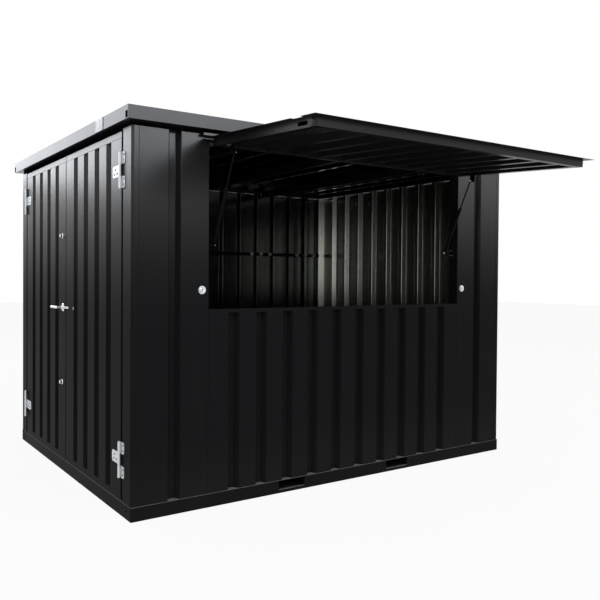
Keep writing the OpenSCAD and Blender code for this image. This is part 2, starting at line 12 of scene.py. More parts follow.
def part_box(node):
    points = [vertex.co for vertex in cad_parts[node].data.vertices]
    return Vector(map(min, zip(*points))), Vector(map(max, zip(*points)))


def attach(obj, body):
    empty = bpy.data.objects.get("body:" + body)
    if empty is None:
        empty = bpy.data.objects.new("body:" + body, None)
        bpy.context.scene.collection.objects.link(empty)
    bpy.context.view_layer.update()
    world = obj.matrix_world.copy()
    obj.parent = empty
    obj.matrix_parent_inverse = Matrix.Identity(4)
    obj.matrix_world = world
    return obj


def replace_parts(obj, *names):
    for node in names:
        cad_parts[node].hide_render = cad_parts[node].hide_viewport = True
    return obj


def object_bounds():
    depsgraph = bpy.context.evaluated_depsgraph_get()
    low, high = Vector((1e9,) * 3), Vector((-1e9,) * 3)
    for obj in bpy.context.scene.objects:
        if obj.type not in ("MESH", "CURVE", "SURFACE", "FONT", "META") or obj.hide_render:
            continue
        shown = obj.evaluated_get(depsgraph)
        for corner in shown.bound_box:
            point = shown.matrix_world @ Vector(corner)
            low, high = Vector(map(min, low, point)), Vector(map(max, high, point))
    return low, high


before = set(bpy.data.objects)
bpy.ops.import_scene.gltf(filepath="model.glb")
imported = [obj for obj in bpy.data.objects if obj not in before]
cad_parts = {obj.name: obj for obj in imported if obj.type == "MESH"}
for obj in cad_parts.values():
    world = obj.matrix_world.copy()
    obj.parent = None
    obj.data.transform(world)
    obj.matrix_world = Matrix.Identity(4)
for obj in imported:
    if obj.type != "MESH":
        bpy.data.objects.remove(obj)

LOG = logging.getLogger("container_bar")
CAD_BOX = [list(corner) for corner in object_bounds()]
MM = 0.001

Point = tuple[float, float]
Colour = tuple[float, float, float]
X, Y, Z = Vector((1, 0, 0)), Vector((0, 1, 0)), Vector((0, 0, 1))


# ---------------------------------------------------------------- shader nodes


class Sock:
    """A shader value that can be summed, scaled and compared like a number."""

    def __init__(self, tree: "Tree", socket: bpy.types.NodeSocket) -> None:
        """Keeps the tree and the output socket that carries the value."""
        self.tree = tree
        self.socket = socket

    def _math(self, operation: str, *values: "Sock | float", clamp: bool = False) -> "Sock":
        """Adds one Math node.

        Args:
            operation: the Math node's operation.
            values: its inputs in order.
            clamp: whether the result is held between 0 and 1.

        Returns:
            The node's output.
        """
        settings = {"operation": operation, "use_clamp": clamp}
        return self.tree.add("ShaderNodeMath", settings, dict(enumerate(values)))

    def __add__(self, other: "Sock | float") -> "Sock":
        """Sum."""
        return self._math("ADD", self, other)

    __radd__ = __add__

    def __mul__(self, other: "Sock | float") -> "Sock":
        """Product."""
        return self._math("MULTIPLY", self, other)

    __rmul__ = __mul__

    def __sub__(self, other: "Sock | float") -> "Sock":
        """Difference."""
        return self._math("SUBTRACT", self, other)

    def __rsub__(self, other: float) -> "Sock":
        """Difference from a number."""
        return self._math("SUBTRACT", other, self)

    def __truediv__(self, other: "Sock | float") -> "Sock":
        """Quotient."""
        return self._math("DIVIDE", self, other)

    def __pow__(self, other: float) -> "Sock":
        """Power."""
        return self._math("POWER", self, other)

    def __gt__(self, other: "Sock | float") -> "Sock":
        """1 where this is the greater, else 0."""
        return self._math("GREATER_THAN", self, other)

    def __abs__(self) -> "Sock":
        """Size without sign."""
        return self._math("ABSOLUTE", self)

    def held(self) -> "Sock":
        """The value held between 0 and 1."""
        return self._math("ADD", self, 0.0, clamp=True)

    def between(self, low: float, high: float) -> "Sock":
        """0 at low rising smoothly to 1 at high.

        Args:
            low: the value that gives 0.
            high: the value that gives 1.

        Returns:
            The smooth step.
        """
        settings = {"interpolation_type": "SMOOTHSTEP"}
        return self.tree.add("ShaderNodeMapRange", settings, {0: self, 1: low, 2: high})


class Tree:
    """A material's node tree, with one way of adding a node."""

    def __init__(self, name: str) -> None:
        """Makes an empty material with that name."""
        self.material = bpy.data.materials.new(name)
        self.material.use_nodes = True
        self.material.node_tree.nodes.clear()
        self.nodes = self.material.node_tree.nodes
        self.links = self.material.node_tree.links

    def add(self, kind: str, settings: dict | None = None, inputs: dict | None = None, out: str | int = 0) -> Sock:
        """Adds a node.

        Args:
            kind: the node's type.
            settings: its properties, set first; "stops" holds a ramp's (place, grey or colour) pairs.
            inputs: socket name or number to a number, a colour or a Sock.
            out: the output that is handed back.

        Returns:
            That output.
        """
        node = self.nodes.new(kind)
        for key, value in (settings or {}).items():
            if key == "stops":
                self._stops(node.color_ramp, value)
            else:
                setattr(node, key, value)
        for key, value in (inputs or {}).items():
            if isinstance(value, Sock):
                self.links.new(value.socket, node.inputs[key])
            else:
                node.inputs[key].default_value = value
        return Sock(self, node.outputs[out]) if node.outputs else Sock(self, None)

    @staticmethod
    def _stops(ramp: bpy.types.ColorRamp, stops: Sequence[tuple]) -> None:
        """Sets a ramp's stops from (place, grey or colour) pairs."""
        while len(ramp.elements) < len(stops):
            ramp.elements.new(0.5)
        for element, (place, shade) in zip(ramp.elements, stops):
            rgb = (shade,) * 3 if isinstance(shade, float) else shade
            element.position = place
            element.color = (*rgb, 1.0)

    def place(self) -> Sock:
        """Position on the object, in metres."""
        return self.add("ShaderNodeTexCoord", out="Object")

    def axis(self, vector: Sock, name: str) -> Sock:
        """One component of a vector, named X, Y or Z."""
        return self.add("ShaderNodeSeparateXYZ", inputs={0: vector}, out=name)

    def normal(self) -> Sock:
        """The surface's direction."""
        return self.add("ShaderNodeNewGeometry", out="Normal")

    def stretch(self, vector: Sock, scale: Colour) -> Sock:
        """A vector scaled along each axis."""
        return self.add("ShaderNodeVectorMath", {"operation": "MULTIPLY"}, {0: vector, 1: scale})

    def cloud(self, scale: float, detail: float = 3.0, rough: float = 0.5, at: Sock | None = None) -> Sock:
        """Smooth noise from 0 to 1.

        Args:
            scale: how many features there are to a metre.
            detail: how many finer layers are added.
            rough: the strength of those layers.
            at: where it is read; the object's own position if left out.

        Returns:
            The noise value.
        """
        inputs = {"Vector": at or self.place(), "Scale": scale, "Detail": detail, "Roughness": rough}
        return self.add("ShaderNodeTexNoise", {}, inputs)

    def blend(self, factor: Sock | float, low: Sock | Colour, high: Sock | Colour) -> Sock:
        """A colour between two others.

        Args:
            factor: 0 gives low and 1 gives high.
            low: one colour.
            high: the other colour.

        Returns:
            The mixed colour.
        """
        pair = {6: self.rgba(low), 7: self.rgba(high), 0: factor}
        return self.add("ShaderNodeMix", {"data_type": "RGBA"}, pair, out=2)

    @staticmethod
    def rgba(colour: Sock | Colour) -> Sock | tuple:
        """A plain colour with its alpha of 1; a Sock is handed on as it is."""
        return colour if isinstance(colour, Sock) else (*colour, 1.0)

    def bump(self, height: Sock, distance: float, strength: float = 1.0) -> Sock:
        """A bumped normal from a height.

        Args:
            height: the height, from 0 to 1.
            distance: what a height of 1 stands for, in metres.
            strength: how much of it shows.

        Returns:
            The normal.
        """
        inputs = {"Height": height, "Distance": distance, "Strength": strength}
        return self.add("ShaderNodeBump", {}, inputs)

    def finish(self, inputs: dict) -> bpy.types.Material:
        """Ends the tree in a Principled shader.

        Args:
            inputs: its socket names and their values or Socks.

        Returns:
            The finished material.
        """
        inputs = {k: self.rgba(v) if isinstance(v, tuple) and len(v) == 3 else v for k, v in inputs.items()}
        shader = self.add("ShaderNodeBsdfPrincipled", {}, inputs)
        self.add("ShaderNodeOutputMaterial", {}, {"Surface": shader})
        return self.material


# -------------------------------------------------------------------- finishes


class Finish:
    """Something a surface can be finished in. The material is made once."""

    name: str
    slot: str

    def material(self) -> bpy.types.Material:
        """The finish's material, made on first use."""
        return bpy.data.materials.get(self.name) or self.make(Tree(self.name))

    def make(self, tree: Tree) -> bpy.types.Material:
        """Builds the nodes in an empty tree and hands back the material."""
        raise NotImplementedError


@dataclass(frozen=True)
class PaintedSteel(Finish):
    """Powder-coated steel: dull and dusty low down, clean and glossy near the roof; upward faces turn lighter, partly
    from dirt lying on them and partly as a painted highlight on ledges.
    """

    name: str
    slot: str = "black_paint"
    tint: Colour = (0.0095, 0.0096, 0.0100)
    dust_and_highlight_colour: Colour = (0.050, 0.048, 0.045)
    gloss: float = 0.40
    coat: float = 1.0
    coat_gloss: float = 0.26
    clean_from: float = 0.80
    clean_at: float = 2.25
    settled_dust_and_highlight: float = 0.22
    splash: float = 0.22
    peel: float = 0.00005

    def make(self, tree: Tree) -> bpy.types.Material:
        """Builds the paint."""
        place = tree.place()
        height = tree.axis(place, "Z")
        runs = tree.cloud(1.0, 4.0, 0.6, tree.stretch(place, (9.0, 9.0, 0.7)))
        smears = tree.cloud(2.3, 5.0, 0.62)
        fine = tree.cloud(260.0, 2.0)
        low = 1.0 - height.between(0.0, 0.5)
        # Upward faces take the lighter colour: dirt lying on them, and also a painted highlight on ledges and rail
        # tops.
        up = tree.axis(tree.normal(), "Z").between(0.35, 0.95)
        dust_and_highlight = (low * self.splash * smears + up * self.settled_dust_and_highlight * (0.5 + fine) + runs.between(0.55, 0.85) * (0.23 * self.splash)).held()
        colour = tree.blend(dust_and_highlight, self.tint, self.dust_and_highlight_colour)
        rough = self.gloss + 0.10 * (smears - 0.5) + dust_and_highlight * 0.3
        clean = height.between(self.clean_from, self.clean_at)
        coat = (clean * clean * self.coat * (0.85 + 0.3 * smears)).held()
        return tree.finish({
            "Base Color": colour, "Roughness": rough, "Normal": tree.bump(fine, self.peel),
            "Specular IOR Level": 0.01, "Coat Weight": coat, "Coat Roughness": self.coat_gloss,
        })


@dataclass(frozen=True)
class Galvanised(Finish):
    """Zinc-coated steel: crystals of slightly different grey, dull patches and runs."""

    name: str
    slot: str = "zinc_fittings"
    light: Colour = (0.66, 0.68, 0.70)
    dark: Colour = (0.42, 0.44, 0.46)
    gloss: float = 0.34
    crystals: float = 60.0
    uneven: float = 1.0

    def make(self, tree: Tree) -> bpy.types.Material:
        """Builds the zinc."""
        place = tree.place()
        settings = {"feature": "F1", "voronoi_dimensions": "3D"}
        cell = tree.add("ShaderNodeTexVoronoi", settings, {"Vector": place, "Scale": self.crystals}, "Color")
        grey = tree.axis(cell, "X")
        patch = tree.cloud(7.0, 5.0, 0.6)
        runs = tree.cloud(1.0, 4.0, 0.6, tree.stretch(place, (14.0, 14.0, 1.0)))
        shade = (grey * 0.45 + patch * 0.35 + runs * 0.20).held()
        colour = tree.blend(shade, self.dark, self.light)
        rough = self.gloss + 0.16 * self.uneven * (grey - 0.5) + 0.22 * self.uneven * (patch - 0.5)
        normal = tree.bump(tree.cloud(420.0, 2.0), 0.00003 * self.uneven)
        return tree.finish({"Base Color": colour, "Metallic": 1.0, "Roughness": rough, "Normal": normal})


@dataclass(frozen=True)
class BrightMetal(Finish):
    """Polished metal with faint wipe marks."""

    name: str
    slot: str = "bright_metal"
    tint: Colour = (0.80, 0.80, 0.81)
    gloss: float = 0.12

    def make(self, tree: Tree) -> bpy.types.Material:
        """Builds the metal."""
        marks = tree.cloud(55.0, 6.0, 0.7)
        colour = tree.blend(marks.between(0.35, 0.75), self.tint, tuple(0.86 * c for c in self.tint))
        rough = self.gloss + 0.12 * marks
        normal = tree.bump(tree.cloud(900.0, 2.0), 0.00001)
        return tree.finish({"Base Color": colour, "Metallic": 1.0, "Roughness": rough, "Normal": normal})


@dataclass(frozen=True)
class Moulded(Finish):
    """Moulded plastic or rubber with a fine grain."""

    name: str
    slot: str
    tint: Colour
    gloss: float = 0.5
    specular: float = 0.4

    def make(self, tree: Tree) -> bpy.types.Material:
        """Builds the plastic."""
        grain = tree.cloud(600.0, 3.0)
        worn = tree.cloud(24.0, 4.0)
        colour = tree.blend(worn.between(0.4, 0.8) * 0.5, self.tint, tuple(min(1.0, 1.35 * c) for c in self.tint))
        rough = self.gloss + 0.14 * (worn - 0.5)
        return tree.finish({
            "Base Color": colour, "Roughness": rough, "Normal": tree.bump(grain, 0.00004),
            "Specular IOR Level": self.specular,
        })


@dataclass(frozen=True)
class Plywood(Finish):
    """Sealed plywood boards with long grain and joints between sheets."""

    name: str
    slot: str = "plywood"
    light: Colour = (0.30, 0.19, 0.11)
    dark: Colour = (0.13, 0.075, 0.04)
    board: float = 1.22

    def make(self, tree: Tree) -> bpy.types.Material:
        """Builds the boards."""
        place = tree.place()
        grain = tree.cloud(3.0, 8.0, 0.62, tree.stretch(place, (1.0, 14.0, 14.0)))
        fibre = tree.cloud(10.0, 6.0, 0.7, tree.stretch(place, (2.0, 70.0, 70.0)))
        across = tree.axis(place, "X") / self.board
        joint = abs(across._math("FRACT", across) - 0.5) > 0.4985
        shade = (grain.between(0.35, 0.7) * 0.7 + fibre * 0.3).held()
        colour = tree.blend(joint, tree.blend(shade, self.light, self.dark), (0.01, 0.008, 0.006))
        rough = 0.48 + 0.2 * fibre
        return tree.finish({"Base Color": colour, "Roughness": rough, "Normal": tree.bump(fibre, 0.0002)})


BLACK = PaintedSteel("black_wall_paint")
FLAP = PaintedSteel("black_flap_paint", coat=0.42)
EDGE = PaintedSteel("black_roof_edge_paint", tint=(0.013, 0.0132, 0.014), coat=0.66, coat_gloss=0.18)
# Its pale colour on upward faces is dirt and also a painted highlight on the rail tops.
FRAME = PaintedSteel(
    "black_frame_paint", slot="frame_paint", tint=(0.008, 0.008, 0.0083), dust_and_highlight_colour=(0.20, 0.20, 0.20),
    coat=0.3, settled_dust_and_highlight=0.75, splash=0.03,
)
CHANNEL = PaintedSteel("black_channel_paint", slot="frame_paint", tint=(0.008, 0.008, 0.0083), settled_dust_and_highlight=0.1, splash=0.03)
# A pale grey finish that paints the highlight along the rails' top edge.
PALE_EDGE_HIGHLIGHT = PaintedSteel("painted_highlight_edge_paint", slot="frame_paint", tint=(0.14, 0.14, 0.142), coat=0.1)
DULL_BOLT = Galvanised("dull_bolts", light=(0.30, 0.31, 0.32), dark=(0.16, 0.17, 0.17), gloss=0.5, crystals=200.0)
STRUT = PaintedSteel("black_strut_paint", slot="strut_paint", tint=(0.004, 0.004, 0.004), coat=0.10)
INNER_ZINC = Galvanised(
    "zinc_wall_inside", slot="zinc_roof", light=(0.66, 0.67, 0.62), dark=(0.54, 0.55, 0.51),
    gloss=0.22, crystals=45.0, uneven=0.12,
)
# Zinc for the back wall's inner face, darkened as painted shade for the hut's inside.
SHADED_BACK_INSIDE = Galvanised(
    "zinc_back_inside_painted_shade", slot="frame_paint", light=(0.10, 0.105, 0.10), dark=(0.055, 0.06, 0.057),
    gloss=0.16, crystals=20.0, uneven=0.15,
)
# Zinc for the roof's underside, darker than its top: painted shade under the roof.
SHADED_ROOF_UNDERSIDE = Galvanised(
    "zinc_roof_underside_painted_shade", slot="zinc_roof", light=(0.15, 0.155, 0.15), dark=(0.10, 0.105, 0.10),
    gloss=0.10, crystals=45.0, uneven=0.15,
)
ROOF_ZINC = Galvanised(
    "zinc_roof_sheet", slot="zinc_roof", light=(0.40, 0.41, 0.42), dark=(0.27, 0.28, 0.29), gloss=0.50, crystals=45.0,
)
ZINC = Galvanised("zinc_fittings", light=(0.76, 0.77, 0.78), dark=(0.56, 0.58, 0.59), gloss=0.48, crystals=160.0)
CLIP = Galvanised("zinc_clip", light=(0.46, 0.47, 0.48), dark=(0.30, 0.31, 0.32), gloss=0.5, crystals=90.0)
BRIGHT = BrightMetal("bright_metal", gloss=0.24)
SATIN = BrightMetal("satin_metal", gloss=0.44)
KNOB = Moulded("pale_knob", "pale_knobs", (0.80, 0.78, 0.66), 0.30)
SEAL = Moulded("rubber_seal", "strut_paint", (0.003, 0.003, 0.003), 0.9, 0.0)
BOARD = Plywood("floor_plywood")


# ------------------------------------------------------------------ mesh tools


def node_box(name: str) -> tuple[Vector, Vector]:
    """The lowest and highest corner of a CAD piece."""
    low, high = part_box(name)
    return Vector(low), Vector(high)


def rounded(corners: Sequence[Point], radius: float, steps: int = 4) -> list[Vector]:
    """Rounds every inner corner of an open outline into an arc.

    Args:
        corners: the outline's corners in order.
        radius: the bend's radius; a short side takes a smaller one.
        steps: the number of flats in each bend.

    Returns:
        The outline's points, with a supporting point beside each bend.
    """
    points = [Vector(c) for c in corners]
    path = [points[0]]
    for before, here, after in zip(points, points[1:], points[2:]):
        back, ahead = before - here, after - here
        reach = 0.42 * min(back.length, ahead.length)
        back.normalize()
        ahead.normalize()
        turn = math.pi - back.angle(ahead)
        if turn < 0.01:
            path.append(here)
            continue
        cut = min(radius * math.tan(turn / 2), reach)
        bend = cut / math.tan(turn / 2)
        centre = here + (back + ahead).normalized() * (bend / math.cos(turn / 2))
        arm_in, arm_out = here + back * cut - centre, here + ahead * cut - centre
        support = min(2.5 * cut, reach * 1.1)
        path.append(here + back * (cut + 0.3 * support))
        for k in range(steps + 1):
            arm = arm_in.lerp(arm_out, k / steps).normalized() * bend
            path.append(centre + arm)
        path.append(here + ahead * (cut + 0.3 * support))
    path.append(points[-1])
    return path


def spread(path: Sequence[Vector], step: float) -> list[Vector]:
    """Adds points along the long straight stretches of an outline."""
    out = [path[0]]
    for a, b in zip(path, path[1:]):
        pieces = max(1, round((b - a).length / step))
        out.extend(a.lerp(b, k / pieces) for k in range(1, pieces + 1))
    return out


def offset(path: Sequence[Vector], distance: float) -> list[Vector]:
    """The outline moved to its left by a distance, with mitred corners."""
    sides = [(b - a).normalized() for a, b in zip(path, path[1:])]
    out = []
    for i, point in enumerate(path):
        before, after = sides[max(0, i - 1)], sides[min(i, len(sides) - 1)]
        normals = Vector((-before.y, before.x)), Vector((-after.y, after.x))
        middle = (normals[0] + normals[1]).normalized()
        out.append(point + middle * (distance / max(0.3, middle.dot(normals[0]))))
    return out


def new_object(name: str, work: bmesh.types.BMesh, finishes: Sequence[Finish], body: str, sharp: float = 35.0) -> bpy.types.Object:
    """Turns a bmesh into a dressed piece that rides on a body.

    Args:
        name: the piece's name.
        work: the mesh, which is freed.
        finishes: its finishes in the order of the faces' material numbers.
        body: the CAD body that it rides on.
        sharp: edges that turn by more than this many degrees stay sharp.

    Returns:
        The piece.
    """
    mesh = bpy.data.meshes.new(name)
    work.to_mesh(mesh)
    work.free()
    piece = bpy.data.objects.new(name, mesh)
    bpy.context.scene.collection.objects.link(piece)
    for finish in finishes:
        mesh.materials.append(finish.material())
    mesh.polygons.foreach_set("use_smooth", [True] * len(mesh.polygons))
    mesh.set_sharp_from_angle(angle=math.radians(sharp))
    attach(piece, body)
    return piece


@dataclass
class Placing:
    """Where a flat outline stands: its two directions, the way it is drawn out, and its start."""

    across: Vector
    inward: Vector
    along: Vector
    start: Vector

    def at(self, point: Vector, run: float) -> Vector:
        """The place of an outline point after it is drawn out by run."""
        return self.start + self.across * point.x + self.inward * point.y + self.along * run


@dataclass
class FoldedSheet:
    """A sheet folded to an outline and drawn out along its length.

    The outline is the outer face; the thickness lies on its left. The outer
    faces take the first finish and the inner faces the last one.
    """

    name: str
    body: str
    corners: Sequence[Point]
    length: float
    placing: Placing
    thickness: float = 1.5 * MM
    bend: float = 3.5 * MM
    finishes: Sequence[Finish] = (BLACK,)
    wave: float = 0.0
    step: float = 0.07
    seed: float = 0.0

    def build(self) -> bpy.types.Object:
        """Makes the sheet.

        Returns:
            The piece, riding on its body.
        """
        path = rounded(self.corners, self.bend)
        if self.wave:
            path = spread(path, self.step)
        outer, inner = path, offset(path, self.thickness)
        rows = max(1, round(self.length / self.step)) if self.wave else 1
        work = bmesh.new()
        grid = [[self._point(work, p, r * self.length / rows) for p in outer] for r in range(rows + 1)]
        back = [[self._point(work, p, r * self.length / rows) for p in inner] for r in range(rows + 1)]
        last = len(self.finishes) - 1
        for r in range(rows):
            for i in range(len(path) - 1):
                work.faces.new((grid[r][i], grid[r][i + 1], grid[r + 1][i + 1], grid[r + 1][i]))
                face = work.faces.new((back[r][i], back[r + 1][i], back[r + 1][i + 1], back[r][i + 1]))
                face.material_index = last
            for i in (0, len(path) - 1):
                work.faces.new((grid[r][i], back[r][i], back[r + 1][i], grid[r + 1][i]))
        for r in (0, rows):
            for i in range(len(path) - 1):
                work.faces.new((grid[r][i], grid[r][i + 1], back[r][i + 1], back[r][i]))
        bmesh.ops.recalc_face_normals(work, faces=work.faces)
        return new_object(self.name, work, self.finishes, self.body)

    def _point(self, work: bmesh.types.BMesh, point: Vector, run: float) -> bmesh.types.BMVert:
        """One vertex, pressed in a little where the sheet is wavy."""
        place = self.placing.at(point, run)
        if self.wave:
            edge = min(1.0, run / 0.12, (self.length - run) / 0.12)
            swell = noise.noise(Vector((point.x * 3.1, run * 1.7, self.seed)))
            swell += 0.45 * noise.noise(Vector((point.x * 9.0, run * 5.0, self.seed + 7)))
            place = place + self.placing.inward * (self.wave * edge * (0.5 + 0.5 * swell))
        return work.verts.new(place)


def lathe(work: bmesh.types.BMesh, profile: Sequence[Point], at: Vector, axis: Vector, sides: int = 20) -> None:
    """Turns a profile round an axis.

    Args:
        work: the mesh that takes the faces.
        profile: (radius, height) pairs; a radius of 0 closes the end.
        at: the axis's start.
        axis: its direction.
        sides: the number of sides; 6 makes a hexagon.
    """
    axis = axis.normalized()
    side = axis.orthogonal().normalized()
    other = axis.cross(side)
    turns = [2 * math.pi * k / sides for k in range(sides)]
    rings = []
    for radius, height in profile:
        arms = [side * math.cos(a) + other * math.sin(a) for a in turns] if radius else [side]
        rings.append([work.verts.new(at + axis * height + arm * radius) for arm in arms])
    for low, high in zip(rings, rings[1:]):
        for k in range(sides):
            ring = [low[k % len(low)], low[(k + 1) % sides % len(low)]]
            ring += [high[(k + 1) % sides % len(high)], high[k % len(high)]]
            work.faces.new(list(dict.fromkeys(ring)))


def slab(work: bmesh.types.BMesh, low: Sequence[float], high: Sequence[float], cut: float = 0.8 * MM) -> None:
    """Adds a box with rounded edges.

    Args:
        work: the mesh that takes it.
        low: its lowest corner.
        high: its highest corner.
        cut: how wide its rounded edges are.
    """
    low, high = Vector(low), Vector(high)
    made = bmesh.ops.create_cube(work, size=1.0)["verts"]
    for vert in made:
        vert.co = Vector(((a + b) / 2 + c * (b - a)) for a, b, c in zip(low, high, vert.co))
    edges = list({edge for vert in made for edge in vert.link_edges})
    bmesh.ops.bevel(work, geom=edges, offset=cut, segments=2, profile=0.7, affect="EDGES")


class Head(Enum):
    """The kinds of fixing, each with its (radius, height) profile and number of sides."""

    DOME = (((1.25, 0.0), (1.25, 0.12), (0.95, 0.16), (0.80, 0.45), (0.45, 0.68), (0.0, 0.75)), 16)
    HEX = (((1.15, 0.0), (1.15, 0.16), (1.0, 0.18), (1.0, 0.78), (0.86, 0.9), (0.0, 0.9)), 6)
    BALL = (((0.5, -1.6), (0.5, -0.9), (0.85, -0.55), (1.0, 0.0), (0.8, 0.6), (0.4, 0.92), (0.0, 1.0)), 20)


@dataclass
class Fixings:
    """A set of equal bolts, screws or ball ends that ride on one body."""

    name: str
    body: str
    head: Head
    radius: float
    places: Sequence[tuple[Vector, Vector]]
    finish: Finish = ZINC

    def build(self) -> bpy.types.Object:
        """Makes them as one piece."""
        work = bmesh.new()
        profile, sides = self.head.value
        scaled = [(r * self.radius, h * self.radius) for r, h in profile]
        for at, axis in self.places:
            lathe(work, scaled, at, axis, sides)
        bmesh.ops.recalc_face_normals(work, faces=work.faces)
        LOG.info("%d fixings: %s", len(self.places), self.name)
        return new_object(self.name, work, (self.finish,), self.body)


# --------------------------------------------------------------- wall sheeting


@dataclass(frozen=True)
class Grooving:
    """The pressed groove that every wall, door, roof and flap sheet repeats."""

    pitch: float = 195 * MM
    mouth: float = 77 * MM
    floor: float = 39 * MM
    depth: float = 40 * MM
    sheet: float = 1.5 * MM
    edge: float = 100 * MM

    def places(self, width: float) -> list[float]:
        """The groove middles on a sheet of that width, from its middle."""
        count = max(1, math.floor((width - 2 * self.edge - self.mouth) / self.pitch) + 1)
        return [(i - (count - 1) / 2) * self.pitch for i in range(count)]

    def outline(self, width: float, over: float, flange: float) -> list[Point]:
        """The corners of a grooved sheet with folded edges.

        Args:
            width: the sheet's width.
            over: the width that the grooves are spread over.
            flange: how deep the two edges fold in.

        Returns:
            The corners of its outer face.
        """
        sink = self.depth - self.sheet
        half, mouth, floor = width / 2, self.mouth / 2, self.floor / 2
        corners = [(-half, flange), (-half, 0.0)] if flange else [(-half, 0.0)]
        for c in self.places(over):
            corners += [(c - mouth, 0.0), (c - floor, sink), (c + floor, sink), (c + mouth, 0.0)]
        return corners + ([(half, 0.0), (half, flange)] if flange else [(half, 0.0)])


GROOVES = Grooving()


@dataclass
class WallSheet:
    """One upright grooved panel that stands for one CAD panel."""

    name: str
    node: str
    outward: Vector
    body: str = "hut"
    wave: float = 0.35 * MM
    seed: float = 1.0

    def build(self) -> None:
        """Makes the panel in its CAD panel's place."""
        low, high = node_box(self.node)
        middle = (low + high) / 2
        across = Z.cross(self.outward)
        width = abs((high - low).dot(across))
        depth = abs((high - low).dot(self.outward))
        start = middle + self.outward * (depth / 2)
        start.z = low.z
        placing = Placing(across, -self.outward, Z, start)
        corners = GROOVES.outline(width, width, GROOVES.depth)
        sheet = FoldedSheet(
            self.name, self.body, corners, high.z - low.z, placing,
            finishes=(BLACK, INNER_ZINC), wave=self.wave, seed=self.seed,
        )
        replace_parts(sheet.build(), self.node)
        LOG.info("wall sheet %s", self.name)


@dataclass
class Walls:
    """The four walls' grooved sheets."""

    panels: tuple[tuple[str, str, Vector], ...] = (
        ("serving_wall_left", "front_left_panel", -Y),
        ("serving_wall_right", "front_right_panel", -Y),
        ("serving_wall_lower", "front_lower_panel", -Y),
        ("end_wall", "end_wall_panel", X),
    )

    def build(self) -> None:
        """Makes each panel; the back wall is two that meet in its middle."""
        for seed, (name, node, outward) in enumerate(self.panels):
            WallSheet(name, node, outward, seed=float(seed)).build()
        low, high = node_box("back_wall_panels")
        half = high.x
        made = []
        for side in (-1, 1):
            start = Vector((side * half / 2, high.y, low.z))
            corners = GROOVES.outline(half, half, GROOVES.depth)
            # The inner faces take the darkened zinc: painted shade.
            made.append(FoldedSheet(
                f"back_wall_{'left' if side < 0 else 'right'}", "hut", corners, high.z - low.z,
                Placing(-X, -Y, Z, start), finishes=(BLACK, SHADED_BACK_INSIDE), wave=0.35 * MM, seed=10.0 + side,
            ).build())
        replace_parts(made[0], "back_wall_panels")
        LOG.info("back wall sheets")


